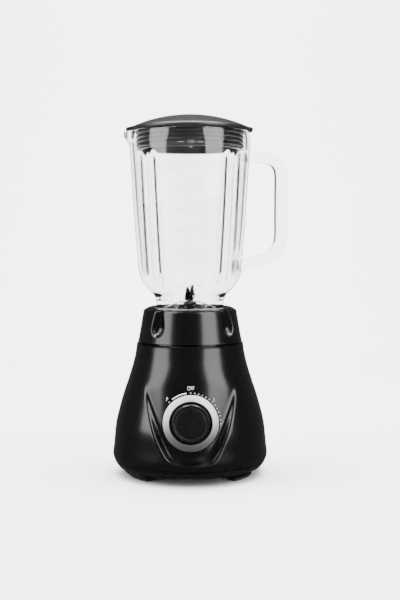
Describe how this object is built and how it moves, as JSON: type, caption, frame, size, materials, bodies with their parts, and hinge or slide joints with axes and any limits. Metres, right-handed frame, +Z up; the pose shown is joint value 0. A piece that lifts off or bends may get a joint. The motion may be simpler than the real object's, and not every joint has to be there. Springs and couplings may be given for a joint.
{
  "type": "countertop blender",
  "caption": "Countertop blender with a fluted glass jug and handle, a screw-on blade collar, a bell-shaped motor base with a rotary speed knob, and a lift-off lid.",
  "frame": {"origin": "centre of the whole object's footprint box on the ground, under the feet", "axes": "+Z up, -Y to the front with the knob, +X to the jug handle"},
  "size_m": [0.1876, 0.1762, 0.3856],
  "materials": {
    "gloss_black": "high gloss moulded plastic",
    "satin_black": "satin moulded plastic",
    "matt_black": "matt moulded plastic",
    "rubber": "soft black rubber",
    "clear_glass": "thick pressed clear glass",
    "silicone": "translucent silicone",
    "brushed_aluminium": "turned and brushed",
    "polished_steel": "polished stainless steel",
    "zinc_steel": "zinc plated",
    "cast_aluminium": "as die cast",
    "lamination_steel": "stacked steel sheets",
    "copper": "enamelled copper",
    "brass": "turned brass",
    "carbon": "pressed carbon",
    "nylon": "natural nylon"
  },
  "bodies": {
    "base": {"motor_housing": "gloss_black", "base_plate": "satin_black", "foot_pad_1": "rubber", "foot_pad_2": "rubber", "foot_pad_3": "rubber", "foot_pad_4": "rubber", "plate_screw_1": "zinc_steel", "plate_screw_2": "zinc_steel", "plate_screw_3": "zinc_steel", "plate_screw_4": "zinc_steel", "cord_gland": "rubber", "drip_seal": "rubber", "knob_bezel": "brushed_aluminium", "switch_body": "matt_black", "switch_nut": "zinc_steel", "stator_core": "lamination_steel", "stator_coil_front": "copper", "stator_coil_rear": "copper", "lower_bracket": "cast_aluminium", "upper_bracket": "cast_aluminium", "lower_bearing": "polished_steel", "upper_bearing": "polished_steel", "motor_bolt_1": "zinc_steel", "motor_bolt_2": "zinc_steel", "brush_holder_1": "brass", "brush_holder_2": "brass", "carbon_brush_1": "carbon", "carbon_brush_2": "carbon", "brush_spring_1": "polished_steel", "brush_spring_2": "polished_steel", "motor_mount_1": "rubber", "motor_mount_2": "rubber", "motor_mount_3": "rubber", "motor_mount_4": "rubber", "mount_screw_1": "zinc_steel", "mount_screw_2": "zinc_steel", "mount_screw_3": "zinc_steel", "mount_screw_4": "zinc_steel"},
    "rotor": {"rotor_shaft": "polished_steel", "rotor_core": "lamination_steel", "commutator": "copper", "cooling_fan": "nylon", "motor_coupling": "matt_black"},
    "knob": {"speed_knob": "satin_black", "switch_spindle": "nylon"},
    "collar": {"jug_collar": "gloss_black", "blade_holder": "satin_black", "blade_bushing": "brass", "shaft_seal": "rubber"},
    "blades": {"blade_shaft": "polished_steel", "blade_spacer": "satin_black", "blade_lower": "polished_steel", "blade_upper": "polished_steel", "jug_coupling": "matt_black"},
    "seal": {"jug_seal": "silicone"},
    "jug": {"glass_jug": "clear_glass"},
    "lid": {"lid_cover": "satin_black", "lid_gasket": "rubber"},
    "cap": {"filler_cap": "satin_black"}
  },
  "joints": [
    {"name": "knob_turn", "type": "hinge", "parent": "base", "child": "knob", "pos_m": [-0.01022, -0.06883, 0.065], "axis": [0, 0.9877, -0.1564], "range_deg": [-45, 90]},
    {"name": "motor_spin", "type": "hinge", "parent": "base", "child": "rotor", "pos_m": [-0.01022, 0.00177, 0.08], "axis": [0, 0, 1], "continuous": true},
    {"name": "jug_lift", "type": "slide", "parent": "base", "child": "collar", "axis": [0, 0, 1], "range_m": [0, 0.06]},
    {"name": "blade_spin", "type": "hinge", "parent": "collar", "child": "blades", "pos_m": [-0.01022, 0.00177, 0.17], "axis": [0, 0, 1], "continuous": true},
    {"name": "neck_rise", "type": "slide", "parent": "collar", "child": "seal", "axis": [0, 0, 1], "range_m": [0, 0.024]},
    {"name": "jug_unscrew", "type": "hinge", "parent": "seal", "child": "jug", "pos_m": [-0.01022, 0.00177, 0.17], "axis": [0, 0, 1], "range_deg": [0, 540]},
    {"name": "lid_lift", "type": "slide", "parent": "jug", "child": "lid", "axis": [0, 0, 1], "range_m": [0, 0.08]},
    {"name": "cap_lift", "type": "slide", "parent": "lid", "child": "cap", "axis": [0, 0, 1], "range_m": [0, 0.045]}
  ],
  "couplings": [
    {"joint": "blade_spin", "follows": "motor_spin", "ratio": 1},
    {"joint": "neck_rise", "follows": "jug_unscrew", "m_per_rad": 0.0025465}
  ]
}
